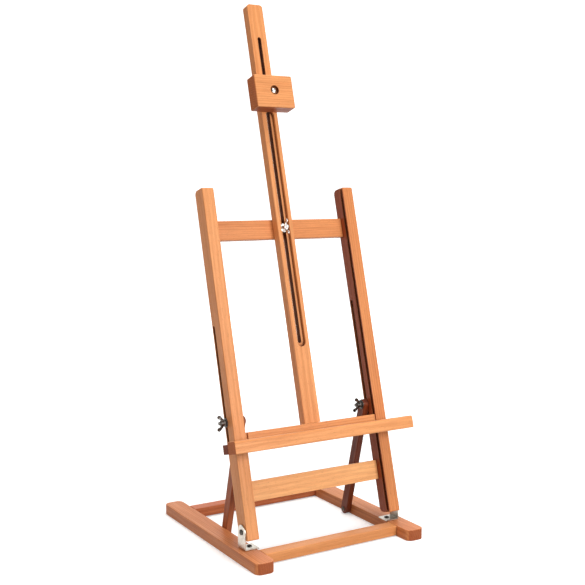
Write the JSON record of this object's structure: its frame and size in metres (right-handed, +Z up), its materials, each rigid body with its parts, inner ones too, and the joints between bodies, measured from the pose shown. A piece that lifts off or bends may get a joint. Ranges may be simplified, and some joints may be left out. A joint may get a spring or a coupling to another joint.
{
  "type": "tabletop easel",
  "caption": "Wooden tabletop easel: flat base, hinged leaning frame, sliding mast with canvas shelf and top clamp, slotted rear struts locked by wing nuts.",
  "frame": {"origin": "on the table under the middle of the base", "axes": "+X to the right seen from in front, +Y towards the back where the frame leans, +Z up"},
  "size_m": [0.3596, 0.364, 0.95],
  "materials": {
    "light_wood": "oiled, satin, orange brown",
    "mid_wood": "oiled, satin, reddish brown",
    "dark_wood": "oiled, satin, dark red brown",
    "dowel_wood": "plain, unfinished",
    "steel": "bright, lightly polished"
  },
  "bodies": {
    "base": {"base_runner_left": "mid_wood", "base_runner_right": "mid_wood", "base_rail_front": "mid_wood", "base_rail_rear": "mid_wood", "base_dowel_front_left_1": "dowel_wood", "base_dowel_front_left_2": "dowel_wood", "base_dowel_front_right_1": "dowel_wood", "base_dowel_front_right_2": "dowel_wood", "base_dowel_rear_left_1": "dowel_wood", "base_dowel_rear_left_2": "dowel_wood", "base_dowel_rear_right_1": "dowel_wood", "base_dowel_rear_right_2": "dowel_wood", "hinge_bracket_left": "steel", "bracket_screw_left": "steel", "hinge_bracket_right": "steel", "bracket_screw_right": "steel"},
    "frame": {"upright_left": "mid_wood", "hinge_screw_left": "steel", "upright_right": "mid_wood", "hinge_screw_right": "steel", "crossbar_lower": "light_wood", "crossbar_upper": "light_wood", "crossbar_dowel_lower_left_1": "dowel_wood", "crossbar_dowel_lower_left_2": "dowel_wood", "crossbar_dowel_lower_right_1": "dowel_wood", "crossbar_dowel_lower_right_2": "dowel_wood", "crossbar_dowel_upper_left_1": "dowel_wood", "crossbar_dowel_upper_left_2": "dowel_wood", "crossbar_dowel_upper_right_1": "dowel_wood", "crossbar_dowel_upper_right_2": "dowel_wood", "mast_clamp_bolt": "steel", "mast_clamp_washer": "steel"},
    "mast_carriage": {"mast": "light_wood", "shelf_front_bar": "light_wood", "shelf_ledge": "dark_wood", "shelf_back_board": "mid_wood", "shelf_lap_screw_left": "steel", "shelf_outer_screw_left": "steel", "shelf_lap_screw_right": "steel", "shelf_outer_screw_right": "steel"},
    "mast_clamp_nut": {"mast_clamp_wing_nut": "steel"},
    "top_clamp": {"top_clamp_block": "light_wood", "top_clamp_bolt": "steel", "top_clamp_washer": "steel"},
    "top_clamp_nut": {"top_clamp_wing_nut": "steel"},
    "strut_pivot_left": {"strut_bolt_left": "steel", "strut_washer_left": "steel"},
    "strut_arm_left": {"strut_left": "dark_wood", "strut_foot_screw_left": "steel"},
    "strut_nut_left": {"strut_wing_nut_left": "steel"},
    "strut_pivot_right": {"strut_bolt_right": "steel", "strut_washer_right": "steel"},
    "strut_arm_right": {"strut_right": "dark_wood", "strut_foot_screw_right": "steel"},
    "strut_nut_right": {"strut_wing_nut_right": "steel"}
  },
  "joints": [
    {"name": "frame_tilt", "type": "hinge", "parent": "base", "child": "frame", "pos_m": [0, -0.10865, 0.0486], "axis": [-1, 0, 0], "range_deg": [-10, 68.6]},
    {"name": "mast_slide", "type": "slide", "parent": "frame", "child": "mast_carriage", "axis": [0, 0.2656, 0.9641], "range_m": [-0.09, 0.19]},
    {"name": "mast_clamp_nut_turn", "type": "hinge", "parent": "frame", "child": "mast_clamp_nut", "pos_m": [0, 0.0174, 0.54464], "axis": [0, -0.9641, 0.2656], "range_deg": [0, 450]},
    {"name": "top_clamp_slide", "type": "slide", "parent": "mast_carriage", "child": "top_clamp", "axis": [0, 0.2656, 0.9641], "range_m": [-0.1, 0.1]},
    {"name": "top_clamp_nut_turn", "type": "hinge", "parent": "top_clamp", "child": "top_clamp_nut", "pos_m": [0, 0.09785, 0.77681], "axis": [0, 0.9641, -0.2656], "range_deg": [0, 450]},
    {"name": "strut_bolt_slide_left", "type": "slide", "parent": "frame", "child": "strut_pivot_left", "axis": [0, 0.2656, 0.9641], "range_m": [-0.03, 0.15]},
    {"name": "strut_swing_left", "type": "hinge", "parent": "strut_pivot_left", "child": "strut_arm_left", "pos_m": [0, -0.05196, 0.22166], "axis": [-1, 0, 0], "range_deg": [-5, 25]},
    {"name": "strut_nut_turn_left", "type": "hinge", "parent": "strut_pivot_left", "child": "strut_nut_left", "pos_m": [-0.1577, -0.05196, 0.22166], "axis": [-1, 0, 0], "range_deg": [0, 450]},
    {"name": "strut_bolt_slide_right", "type": "slide", "parent": "frame", "child": "strut_pivot_right", "axis": [0, 0.2656, 0.9641], "range_m": [-0.03, 0.15]},
    {"name": "strut_swing_right", "type": "hinge", "parent": "strut_pivot_right", "child": "strut_arm_right", "pos_m": [0, -0.05196, 0.22166], "axis": [-1, 0, 0], "range_deg": [-5, 25]},
    {"name": "strut_nut_turn_right", "type": "hinge", "parent": "strut_pivot_right", "child": "strut_nut_right", "pos_m": [0.12, -0.05196, 0.22166], "axis": [-1, 0, 0], "range_deg": [0, 450]}
  ],
  "couplings": [
    {"joint": "strut_bolt_slide_left", "follows": "frame_tilt", "m_per_rad": 0.11811},
    {"joint": "strut_swing_left", "follows": "frame_tilt", "ratio": 0.2792},
    {"joint": "strut_bolt_slide_right", "follows": "frame_tilt", "m_per_rad": 0.11811},
    {"joint": "strut_swing_right", "follows": "frame_tilt", "ratio": 0.2792}
  ]
}
